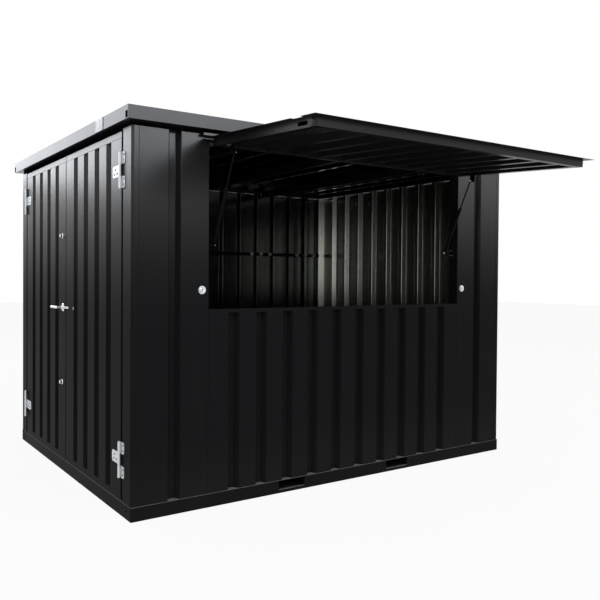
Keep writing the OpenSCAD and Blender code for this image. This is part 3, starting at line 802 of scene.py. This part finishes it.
@dataclass
class DoubleDoors:
    """The two leaves, their stops, hinge bolts, locks and lever trim."""

    foot_band: float = 30 * MM
    top_band: float = 40 * MM
    strap: float = 4 * MM
    bolt: float = 5.5 * MM
    lever_z: float = 1.120
    key_profile: tuple[Point, ...] = (
        (0.0170, 0.0), (0.0170, 0.010), (0.0155, 0.0118), (0.0118, 0.0122),
        (0.0118, 0.0250), (0.0105, 0.0265), (0.0, 0.0265),
    )
    rose_profile: tuple[Point, ...] = ((0.036, 0.0), (0.036, 0.0045), (0.033, 0.006), (0.0, 0.006))
    boss_profile: tuple[Point, ...] = ((0.016, 0.0), (0.016, 0.0105), (0.0145, 0.012), (0.0086, 0.012), (0.0086, 0.006))

    def build(self) -> None:
        """Makes both leaves and their fittings."""
        for side, word in ((-1, "near"), (1, "far")):
            self.leaf(word, side)
            self.hinge_bolts(word, side)
        self.stops()
        self.furniture()
        LOG.info("double doors")

    def leaf(self, word: str, side: int) -> None:
        """Makes one leaf: a grooved sheet between two folded bands."""
        node, body = f"{word}_door_leaf", f"{word}_door"
        low, high = node_box(node)
        width, middle = high.y - low.y, (low.y + high.y) / 2
        start = Vector((low.x, middle, low.z + self.foot_band))
        run = high.z - low.z - self.foot_band - self.top_band
        ribs = FoldedSheet(
            node, body, GROOVES.outline(width, width, GROOVES.depth), run,
            Placing(-Y, X, Z, start), finishes=(BLACK, INNER_ZINC), wave=0.35 * MM, seed=20.0 + side,
        )
        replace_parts(ribs.build(), f"{word}_door_leaf")
        for part, foot, height in (("foot", low.z, self.foot_band), ("top", high.z - self.top_band, self.top_band)):
            depth = GROOVES.depth
            corners = [(0.0, depth), (0.0, 0.0), (height, 0.0), (height, depth)]
            placing = Placing(Z, X, Y, Vector((low.x, low.y, foot)))
            FoldedSheet(f"{word}_door_{part}_band", body, corners, width, placing, bend=2.5 * MM).build()

    def hinge_bolts(self, word: str, side: int) -> None:
        """Puts bolts in one leaf's straps, in its jamb tabs and on its pins."""
        low, high = node_box(f"{word}_door_straps")
        jamb_low, jamb_high = node_box("jamb_hinges")
        tab_z = self._levels(jamb_low.z, jamb_high.z)
        wall = high.x
        outer = max(abs(low.y), abs(high.y))
        jamb_outer = max(abs(jamb_low.y), abs(jamb_high.y))
        face = wall - self.strap
        on_leaf, on_jamb = [], []
        for level in tab_z:
            for inset, lift in ((0.098, 0.012), (0.070, -0.012), (0.112, -0.014)):
                on_leaf.append((Vector((face, side * (outer - 0.009 - inset + 0.012), level + lift)), -X))
            for up in (-1, 1):
                for inset, lift in ((0.012, 0.016), (0.016, -0.014)):
                    on_jamb.append((Vector((face, side * (jamb_outer - inset), level + up * 0.067 + lift)), -X))
        Fixings(f"{word}_strap_bolts", f"{word}_door", Head.DOME, self.bolt, on_leaf, DULL_BOLT).build()
        Fixings(f"{word}_jamb_bolts", "hut", Head.DOME, self.bolt, on_jamb, DULL_BOLT).build()
        pin = Vector(((wall - low.x) / 2, 0, 0)).x
        caps = []
        for level in tab_z:
            at = Vector((low.x + pin * 0.9, side * (outer - 0.009), level))
            caps += [(at + Z * 0.1, Z), (at - Z * 0.1, -Z)]
        Fixings(f"{word}_hinge_pin_caps", "hut", Head.DOME, 5.5 * MM, caps).build()

    @staticmethod
    def _levels(low: float, high: float) -> tuple[float, float]:
        """The middles of the lower and upper hinges, from their nodes' ends."""
        return low + 0.1, high - 0.1

    def stops(self) -> None:
        """Puts a rubber-faced stop and a seal behind each jamb gap."""
        low, high = node_box("far_door_leaf")
        edge, inner = high.y, high.x
        work = bmesh.new()
        for side in (-1, 1):
            y = sorted((side * (edge - 0.014), side * (edge + 0.02)))
            slab(work, (inner + 0.006, y[0], low.z - 0.004), (inner + 0.010, y[1], high.z))
        new_object("door_stops", work, (SEAL,), "hut")
        seals = bmesh.new()
        for side in (-1, 1):
            y = sorted((side * (edge + 0.0078), side * (edge + 0.021)))
            slab(seals, (low.x - 0.0007, y[0], low.z), (low.x + 0.012, y[1], high.z + 0.005), 0.3 * MM)
        new_object("door_edge_seals", seals, (SEAL,), "hut")

    def furniture(self) -> None:
        """Adds key faces, rose screws and the lever's end cap."""
        low, high = node_box("door_locks")
        lever_low, lever_high = node_box("door_lever")
        y, wall = (low.y + high.y) / 2, high.x
        keys = bmesh.new()
        for z in (low.z + 0.017, high.z - 0.017):
            face = Vector((wall, y, z))
            lathe(keys, self.key_profile, face, -X, 28)
            slab(keys, (wall - 0.0268, y - 0.0012, z - 0.007), (wall - 0.020, y + 0.0012, z + 0.007), 0.2 * MM)
        rose = bmesh.new()
        middle = Vector((wall, y, self.lever_z))
        lathe(rose, self.rose_profile, middle, -X, 4)
        for vert in rose.verts:
            vert.co.y = y + (vert.co.y - y) * 0.72
        lathe(rose, self.boss_profile, middle, -X, 28)
        part = bpy.data.meshes.new("rose")
        rose.to_mesh(part)
        rose.free()
        keys.from_mesh(part)
        bmesh.ops.recalc_face_normals(keys, faces=keys.faces)
        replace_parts(new_object("door_locks_and_rose", keys, (BRIGHT,), "far_door"), "door_locks")
        latch = bmesh.new()
        slab(latch, (wall - 0.007, 0.0045, self.lever_z - 0.009), (wall, y, self.lever_z + 0.009), 1.2 * MM)
        new_object("far_leaf_latch_bar", latch, (SATIN,), "far_door")
        keep = bmesh.new()
        slab(keep, (wall - 0.006, -0.060, self.lever_z - 0.007), (wall, -0.0045, self.lever_z + 0.007), 1.2 * MM)
        new_object("near_leaf_keep", keep, (SATIN,), "near_door")
        stud = [(Vector((wall, -0.158, self.lever_z)), -X)]
        Fixings("near_leaf_stud", "near_door", Head.DOME, 9.0 * MM, stud, DULL_BOLT).build()
        z = self.lever_z
        screws = [(Vector((wall - 0.006, y, z + s * 0.023)), -X) for s in (-1, 1)]
        Fixings("rose_screws", "far_door", Head.DOME, 3.2 * MM, screws, BRIGHT).build()
        end = Vector(((lever_low.x + 0.009), lever_high.y, z))
        cap = bmesh.new()
        profile = ((0.0088, -0.002), (0.0088, 0.001), (0.0066, 0.0028), (0.0, 0.0034))
        lathe(cap, profile, end, Y, 24)
        new_object("lever_end_cap", cap, (BRIGHT,), "lever")
        shoulder = bmesh.new()
        ring = ((0.0082, 0.0), (0.0125, 0.0), (0.0135, 0.002), (0.0125, 0.004), (0.0082, 0.004))
        lathe(shoulder, ring, Vector((wall - 0.0125, y, z)), -X, 24)
        new_object("lever_collar", shoulder, (BRIGHT,), "lever")


@dataclass
class Roof:
    """The grooved roof sheet, the folded edge's trim and the strips that close the eaves."""

    overhang_gap: float = 20 * MM

    def build(self) -> None:
        """Makes the sheet and its trim."""
        low, high = node_box("roof_sheet")
        width = high.x - low.x
        placing = Placing(X, -Z, Y, Vector((0, low.y, high.z)))
        outline = GROOVES.outline(width, width, GROOVES.depth)
        # The underside takes the darker zinc: painted shade.
        sheet = FoldedSheet(
            "grooved_roof_sheet", "hut", outline, high.y - low.y, placing,
            finishes=(ROOF_ZINC, SHADED_ROOF_UNDERSIDE), wave=0.5 * MM, seed=31.0,
        )
        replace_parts(sheet.build(), "roof_sheet")
        self.screws(low, high, width)
        self.corners()
        self.eaves_strips()
        self.clip_bolt()
        LOG.info("roof")

    def screws(self, low: Vector, high: Vector, width: float) -> None:
        """Screws the sheet down on its flats at the eaves and in its grooves on the beams."""
        grooves = GROOVES.places(width)
        flats = [(a + b) / 2 for a, b in zip(grooves, grooves[1:])]
        places = [(Vector((x, y, high.z - 0.001)), Z) for x in flats for y in (low.y + 0.05, high.y - 0.05)]
        middle = len(grooves) // 2
        for x in (grooves[middle - 4], grooves[middle], grooves[middle + 4]):
            places += [(Vector((x, y, low.z + 0.001)), Z) for y in (-0.8, -0.4, 0.0, 0.4, 0.8)]
        Fixings("roof_screws", "hut", Head.HEX, 5.0 * MM, places).build()

    def corners(self) -> None:
        """Fills the roof edge's inner corners and marks its corner joints."""
        low, high = node_box("end_fascias")
        flange, leg, plate = 0.040, 0.085, 1.4 * MM
        tops = bmesh.new()
        joints = bmesh.new()
        screws = []
        for sx in (-1, 1):
            for sy in (-1, 1):
                corner = Vector((sx * (high.x - flange), sy * (high.y - flange), high.z))
                ends = [corner, corner - X * sx * leg, corner - Y * sy * leg]
                rings = [[tops.verts.new(p - Z * (0.2 * MM + drop)) for p in ends] for drop in (0.0, plate)]
                tops.faces.new(rings[0])
                tops.faces.new(rings[1])
                for k in range(3):
                    n = (k + 1) % 3
                    tops.faces.new((rings[0][k], rings[0][n], rings[1][n], rings[1][k]))
                screws += [(corner - X * sx * 0.03 - Y * sy * 0.02 - Z * 3.4 * MM, Z)]
                x = sorted((sx * (high.x - 0.001), sx * (high.x + 0.0008)))
                y = sorted((sy * (high.y - 0.034), sy * (high.y - 0.006)))
                x = [min(max(v, CAD_BOX[0][0]), CAD_BOX[1][0]) for v in x]
                slab(joints, (x[0], y[0], low.z + 0.004), (x[1], y[1], low.z + 0.042), 0.2 * MM)
        bmesh.ops.recalc_face_normals(tops, faces=tops.faces)
        new_object("roof_edge_corner_plates", tops, (EDGE,), "hut")
        new_object("roof_edge_joints", joints, (SEAL,), "hut")
        Fixings("corner_plate_screws", "hut", Head.DOME, 4.0 * MM, screws).build()

    def eaves_strips(self) -> None:
        """Closes the gap between the walls' tops and the roof edge, behind the walls' faces; the strips' near-black
        colour is painted shade for that recess.
        """
        low, high = node_box("corner_posts")
        top = node_box("long_fascias")[0].z
        work = bmesh.new()
        back, deep = 4 * MM, 11 * MM
        for side in (-1, 1):
            y = sorted((side * (high.y - back), side * (high.y - back - deep)))
            slab(work, (low.x + 0.016, y[0], high.z), (high.x - 0.016, y[1], top), 0.3 * MM)
            x = sorted((side * (high.x - back), side * (high.x - back - deep)))
            slab(work, (x[0], low.y + 0.016, high.z), (x[1], high.y - 0.016, top), 0.3 * MM)
        new_object("eaves_shade_strips", work, (SEAL,), "hut")

    def clip_bolt(self) -> None:
        """Bolts the clip plate to the roof edge."""
        low, high = node_box("fascia_clip")
        at = Vector((low.x, (low.y + high.y) / 2, (low.z + high.z) / 2))
        Fixings("clip_bolt", "hut", Head.DOME, 5.0 * MM, [(at, -X)], BRIGHT).build()


@dataclass
class ServingHatch:
    """Screws, hinge bolts, lock faces and strut ends of the hatch."""

    slope: float = math.radians(3.2)
    axis_y: float = -1.132
    axis_z: float = 2.126

    def build(self) -> None:
        """Adds every fitting."""
        self.lock_faces()
        self.hinge_bolts()
        self.strut_ends()
        self.bar_caps()
        LOG.info("serving hatch")

    def on_flap(self, x: float, out: float, below: float) -> Vector:
        """A place on the open flap, out from the hinge axis and square below it."""
        y = self.axis_y - out * math.cos(self.slope) + below * math.sin(self.slope)
        z = self.axis_z - out * math.sin(self.slope) - below * math.cos(self.slope)
        return Vector((x, y, z))

    def bar_caps(self) -> None:
        """Closes the four open ends of the flap's cross bars."""
        half = node_box("flap_cross_bars")[1].x
        work = bmesh.new()
        for side in (-1, 1):
            x = sorted((side * (half - 3 * MM), side * (half + 0.4 * MM)))
            for out in (21 * MM, 935 * MM):
                low = (x[0], -out - 39.5 * MM, -46.5 * MM)
                high = (x[1], -out - 0.5 * MM, -2.5 * MM)
                slab(work, low, high, 0.6 * MM)
        turn = Matrix.Translation((0, self.axis_y, self.axis_z)) @ Matrix.Rotation(self.slope, 4, "X")
        work.transform(turn)
        new_object("flap_bar_end_caps", work, (FLAP,), "flap")

    def lock_faces(self) -> None:
        """Gives each hatch lock a rim, a dished face and a key slot."""
        low, high = node_box("hatch_locks")
        radius = (high.z - low.z) / 2
        z = (low.z + high.z) / 2
        rims, slots = bmesh.new(), bmesh.new()
        for side in (-1, 1):
            face = Vector((side * (high.x - radius), low.y, z))
            rim = ((0.62, 0.0), (0.62, 0.03), (0.56, 0.075), (0.44, 0.075), (0.38, 0.02), (0.0, 0.0))
            lathe(rims, [(r * radius, h * radius) for r, h in rim], face, -Y, 32)
            slab(slots, (face.x - 0.0014, face.y - 0.0016, z - 0.0065), (face.x + 0.0014, face.y + 0.001, z + 0.0065), 0.2 * MM)
        bmesh.ops.recalc_face_normals(rims, faces=rims.faces)
        new_object("hatch_lock_rims", rims, (BRIGHT,), "hut")
        new_object("hatch_lock_key_slots", slots, (SEAL,), "hut")

    def hinge_bolts(self) -> None:
        """Bolts the hatch hinges to the wall and to the flap."""
        low, high = node_box("hatch_hinge_leaves")
        outer = high.x - 0.045
        wall = [(Vector((i * outer + dx, -1.127, 2.139)), -Y) for i in (-1, 0, 1) for dx in (-0.03, 0.03)]
        Fixings("hatch_hinge_screws", "hut", Head.DOME, 2.6 * MM, wall).build()
        up = -self.on_flap(0, 0, 1) + self.on_flap(0, 0, 0)
        skin = [(self.on_flap(i * outer, out, -0.0015), up) for i in (-1, 0, 1) for out in (0.022, 0.034)]
        Fixings("flap_hinge_screws", "flap", Head.DOME, 2.4 * MM, skin).build()

    def strut_ends(self) -> None:
        """Puts bright balls where the gas struts meet their studs."""
        for side, word in ((-1, "left"), (1, "right")):
            feet_low, feet_high = node_box(f"{word}_strut_case")
            x = (feet_low.x + feet_high.x) / 2
            foot = Vector((x - side * 0.006, -1.060, 1.520))
            head = self.on_flap(x - side * 0.006, 0.164, 0.086)
            Fixings(f"{word}_strut_foot_ball", f"{word}_case", Head.BALL, 7.0 * MM, [(foot, X * -side)], BRIGHT).build()
            Fixings(f"{word}_strut_head_ball", f"{word}_rod", Head.BALL, 7.0 * MM, [(head, X * -side)], BRIGHT).build()
            plate_x = side * 1.047
            bolts = [(Vector((plate_x, y, z)), X * -side) for y in (-1.076, -1.056) for z in (1.503, 1.537)]
            Fixings(f"{word}_strut_foot_bolts", "hut", Head.HEX, 3.2 * MM, bolts).build()
            under = self.on_flap(0, 0, 1) - self.on_flap(0, 0, 0)
            heads = [(self.on_flap(side * 1.022, out, 0.050), under) for out in (0.152, 0.176)]
            Fixings(f"{word}_strut_head_bolts", "flap", Head.HEX, 3.2 * MM, heads).build()


@dataclass
class WallFixings:
    """Small painted screws at the head and foot of every wall flat."""

    inset: float = 22 * MM
    radius: float = 3.0 * MM

    def build(self) -> None:
        """Makes the screws of all four walls as one piece."""
        places: list[tuple[Vector, Vector]] = []
        for node, outward in (
            ("front_left_panel", -Y), ("front_right_panel", -Y), ("front_lower_panel", -Y),
            ("end_wall_panel", X), ("back_wall_panels", Y),
        ):
            low, high = node_box(node)
            across = Z.cross(outward)
            middle = (low + high) / 2
            width = abs((high - low).dot(across))
            face = middle + outward * abs((high - low).dot(outward)) / 2
            for place in self._flats(width if node != "back_wall_panels" else width / 2):
                shifts = (-width / 4, width / 4) if node == "back_wall_panels" else (0.0,)
                for shift in shifts:
                    for z in (low.z + self.inset, high.z - self.inset):
                        at = face + across * (place + shift)
                        places.append((Vector((at.x, at.y, z)), outward))
        Fixings("wall_screws", "hut", Head.DOME, self.radius, places, BLACK).build()

    @staticmethod
    def _flats(width: float) -> list[float]:
        """The middles of the flats between and beside the grooves."""
        grooves = GROOVES.places(width)
        ends = [-width / 2 + 0.03, width / 2 - 0.03]
        return ends + [(a + b) / 2 for a, b in zip(grooves, grooves[1:])]


@dataclass
class HookRail:
    """Six turned knobs on the rail along the back wall."""

    pitch: float = 108 * MM
    group: float = 545 * MM
    profile: tuple[Point, ...] = (
        (0.0068, 0.0), (0.0068, 0.016), (0.0082, 0.020), (0.0135, 0.024),
        (0.0165, 0.029), (0.0168, 0.034), (0.0140, 0.0385), (0.0075, 0.040), (0.0, 0.040),
    )

    def build(self) -> None:
        """Makes the knobs in the CAD knobs' places."""
        low, high = node_box("hook_knobs")
        first = high.x - 0.017
        work = bmesh.new()
        for group in (0, 1):
            for knob in (0, 1, 2):
                at = Vector((first - group * self.group - knob * self.pitch, high.y, (low.z + high.z) / 2))
                lathe(work, self.profile, at, -Y, 28)
        bmesh.ops.recalc_face_normals(work, faces=work.faces)
        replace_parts(new_object("turned_knobs", work, (KNOB,), "hut", 50.0), "hook_knobs")
        LOG.info("hook rail knobs")


@dataclass
class Base:
    """Pale lips in the fork pockets, which paint the highlight on their lower edges, and bolts along the base."""

    pocket: float = 200 * MM
    span: float = 900 * MM
    pocket_floor: float = 20 * MM

    def build(self) -> None:
        """Makes the lips and the base's bolts."""
        low, high = node_box("front_base_rail")
        lips = bmesh.new()
        for sx in (-1, 1):
            for sy in (-1, 1):
                x = sx * self.span / 2
                y = sorted((sy * (-low.y - 0.0005), sy * (-low.y - 0.018)))
                floor = self.pocket_floor
                half = self.pocket / 2 - 0.004
                slab(lips, (x - half, y[0], floor), (x + half, y[1], floor + 0.0018), 0.5 * MM)
        # The pale lips are a painted highlight on the pockets' lower edges.
        new_object("fork_pocket_highlight_lips", lips, (DULL_BOLT,), "hut")
        self.rail_ends(low, high)
        self.top_edge(low, high)
        self.bolts(high)
        LOG.info("base")

    @staticmethod
    def rail_ends(low: Vector, high: Vector) -> None:
        """Closes the long rails' open ends with welded plates."""
        work = bmesh.new()
        deep, wide = 3 * MM, high.y - low.y
        for sx in (-1, 1):
            for sy in (-1, 1):
                x = sorted((sx * (high.x - deep), sx * high.x))
                y = sorted((sy * (-low.y - wide + 0.003), sy * (-low.y - 0.0004)))
                slab(work, (x[0], y[0], low.z + 0.0006), (x[1], y[1], high.z - 0.0006), 0.6 * MM)
        new_object("base_rail_end_plates", work, (FRAME,), "hut")

    @staticmethod
    def top_edge(low: Vector, high: Vector) -> None:
        """Runs a pale strip along the rails' top edge round the hut, a hair proud of the walls: a painted highlight
        line.
        """
        work = bmesh.new()
        x, y, z = high.x, -low.y, high.z
        proud, tall = 0.9 * MM, 2.2 * MM
        for side in (-1, 1):
            ys = sorted((side * (y - 0.002), side * (y + proud)))
            slab(work, (-x, ys[0], z - tall), (x, ys[1], z + 0.3 * MM), 0.4 * MM)
            xs = sorted((side * (x - 0.002), side * (x + proud)))
            slab(work, (xs[0], -y, z - tall), (xs[1], y, z + 0.3 * MM), 0.4 * MM)
        new_object("base_top_edge", work, (PALE_EDGE_HIGHLIGHT,), "hut")

    @staticmethod
    def bolts(high: Vector) -> None:
        """Bolts the end rails to the long rails."""
        ends_high = node_box("end_base_rails")[1]
        bolts = []
        for sx in (-1, 1):
            for sy in (-1, 1):
                bolts.append((Vector((sx * ends_high.x, sy * (ends_high.y - 0.03), high.z / 2)), X * sx))
        Fixings("base_bolts", "hut", Head.HEX, 6.0 * MM, bolts, FRAME).build()


# ---------------------------------------------------------------------- studio


@dataclass
class Studio:
    """Camera, floor, backdrop and lamps."""

    eye: Vector = field(default_factory=lambda: Vector((-2.978, -4.584, 1.337)))
    yaw: float = math.radians(32.73)
    pitch: float = math.radians(-0.91)
    roll: float = math.radians(0.36)
    lens: float = 41.25
    shift: Point = (0.08, -0.021)
    floor_size: float = 60.0

    def build(self) -> None:
        """Sets the whole studio up."""
        self.camera()
        self.floor()
        self.world()
        self.lamps()
        view = bpy.context.scene.view_settings
        view.view_transform = "Standard"
        LOG.info("studio")

    def camera(self) -> None:
        """Makes the camera and turns it to its yaw, pitch and roll."""
        ahead = Vector((
            math.sin(self.yaw) * math.cos(self.pitch),
            math.cos(self.yaw) * math.cos(self.pitch),
            math.sin(self.pitch),
        ))
        right = Vector((math.cos(self.yaw), -math.sin(self.yaw), 0.0))
        up = right.cross(ahead)
        turned = Matrix.Rotation(-self.roll, 3, ahead)
        right, up = turned @ right, turned @ up
        data = bpy.data.cameras.new("camera")
        data.lens = self.lens
        data.sensor_width = 36.0
        data.shift_x, data.shift_y = self.shift
        camera = bpy.data.objects.new("camera", data)
        bpy.context.scene.collection.objects.link(camera)
        pose = Matrix((right, up, -ahead)).transposed().to_4x4()
        camera.matrix_world = Matrix.Translation(self.eye) @ pose
        bpy.context.scene.camera = camera

    def floor(self) -> None:
        """Lays a pale floor that shows as white and keeps a soft shadow."""
        work = bmesh.new()
        bmesh.ops.create_grid(work, x_segments=1, y_segments=1, size=self.floor_size / 2)
        mesh = bpy.data.meshes.new("studio_floor")
        work.to_mesh(mesh)
        work.free()
        floor = bpy.data.objects.new("studio_floor", mesh)
        bpy.context.scene.collection.objects.link(floor)
        tree = Tree("studio_floor")
        shown = self._shown_rays(tree)
        plain = tree.add("ShaderNodeBsdfDiffuse", {}, {"Color": (0.8, 0.8, 0.8, 1.0)})
        white = tree.add("ShaderNodeEmission", {}, {"Color": (1.0, 1.0, 1.0, 1.0), "Strength": 1.0})
        mixed = tree.add("ShaderNodeMixShader", {}, {0: shown * 0.92, 1: plain, 2: white})
        tree.add("ShaderNodeOutputMaterial", {}, {"Surface": mixed})
        mesh.materials.append(tree.material)

    @staticmethod
    def _shown_rays(tree: Tree) -> Sock:
        """1 for camera, mirror and see-through rays."""
        camera = tree.add("ShaderNodeLightPath", out="Is Camera Ray")
        glossy = tree.add("ShaderNodeLightPath", out="Is Glossy Ray")
        through = tree.add("ShaderNodeLightPath", out="Is Transmission Ray")
        return (camera + glossy + through).held()

    def world(self) -> None:
        """A soft grey sky that shows as white."""
        world = bpy.data.worlds.new("studio")
        world.use_nodes = True
        tree = Tree.__new__(Tree)
        tree.nodes, tree.links = world.node_tree.nodes, world.node_tree.links
        tree.nodes.clear()
        shown = self._shown_rays(tree)
        strength = shown * 0.55 + 0.45
        sky = tree.add("ShaderNodeBackground", {}, {"Color": (1.0, 1.0, 1.0, 1.0), "Strength": strength})
        tree.add("ShaderNodeOutputWorld", {}, {"Surface": sky})
        bpy.context.scene.world = world

    def lamps(self) -> None:
        """Hangs the soft boxes: two overhead and two upright ones that the paint mirrors."""
        boxes = (
            ("key_box", (-4.5, -5.0, 6.0), (0.0, 0.0, 1.0), (3.5, 3.5), 200.0),
            ("fill_box", (5.5, -4.5, 5.0), (0.0, 0.0, 1.0), (3.5, 3.5), 90.0),
            ("front_box", (2.4, -8.6, 5.2), (-1.3, -1.1, 1.9), (4.0, 3.4), 220.0),
            ("end_box", (-4.1, 7.9, 4.7), (-1.5, 0.0, 2.0), (4.6, 3.4), 165.0),
        )
        for name, place, aim, size, power in boxes:
            data = bpy.data.lights.new(name, "AREA")
            data.shape = "RECTANGLE"
            data.size, data.size_y = size
            data.energy = power
            data.color = (0.90, 0.94, 1.0)
            lamp = bpy.data.objects.new(name, data)
            bpy.context.scene.collection.objects.link(lamp)
            lamp.location = place
            lamp.rotation_euler = (Vector(aim) - Vector(place)).to_track_quat("-Z", "Y").to_euler()


# ------------------------------------------------------------------ CAD pieces


@dataclass
class PlainPieces:
    """CAD pieces that keep their shape and get a finish and softened edges."""

    finishes: dict[str, Finish] = field(default_factory=lambda: {
        "front_base_rail": FRAME, "back_base_rail": FRAME, "end_base_rails": FRAME,
        "floor_joists": FRAME, "fork_channels": CHANNEL, "plywood_floor": BOARD,
        "corner_posts": BLACK, "hatch_sill": BLACK, "hatch_lintel": BLACK,
        "hatch_posts": BLACK, "door_jambs": BLACK, "door_header": FRAME,
        "long_eaves_beams": FRAME, "end_eaves_beams": FRAME, "roof_beams": FRAME,
        "roof_sheet": ROOF_ZINC, "long_fascias": EDGE, "end_fascias": EDGE,
        "fascia_clip": CLIP, "drip_flashing": BLACK, "hatch_locks": ZINC,
        "hook_rail": FRAME, "hook_knobs": KNOB, "jamb_hinges": ZINC,
        "hatch_hinge_leaves": ZINC, "strut_feet": STRUT, "flap_sheet": FLAP,
        "flap_side_bars": BLACK, "flap_cross_bars": FLAP, "flap_hinge_leaves": ZINC,
        "strut_heads": STRUT, "left_strut_case": STRUT, "left_strut_rod": STRUT,
        "right_strut_case": STRUT, "right_strut_rod": STRUT, "near_door_leaf": BLACK,
        "near_door_straps": ZINC, "far_door_leaf": BLACK, "far_door_straps": ZINC,
        "door_locks": BRIGHT, "door_lever": SATIN,
    })

    def build(self) -> None:
        """Dresses each piece and rounds its edges a little."""
        for name, finish in self.finishes.items():
            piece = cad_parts[name]
            piece.data.materials.clear()
            piece.data.materials.append(finish.material())
            soften = piece.modifiers.new("rounded_edges", "BEVEL")
            soften.width = 0.9 * MM
            soften.segments = 2
            soften.limit_method = "ANGLE"
            soften.angle_limit = math.radians(50)
            soften.harden_normals = False
        LOG.info("dressed %d CAD pieces", len(self.finishes))


def main() -> None:
    """Builds the studio and the container bar."""
    logging.basicConfig(level=logging.INFO, format="%(name)s: %(message)s")
    Studio().build()
    PlainPieces().build()
    for part in (Walls(), DoubleDoors(), Roof(), ServingHatch(), WallFixings(), HookRail(), Base()):
        part.build()


if __name__ == "__main__":
    main()
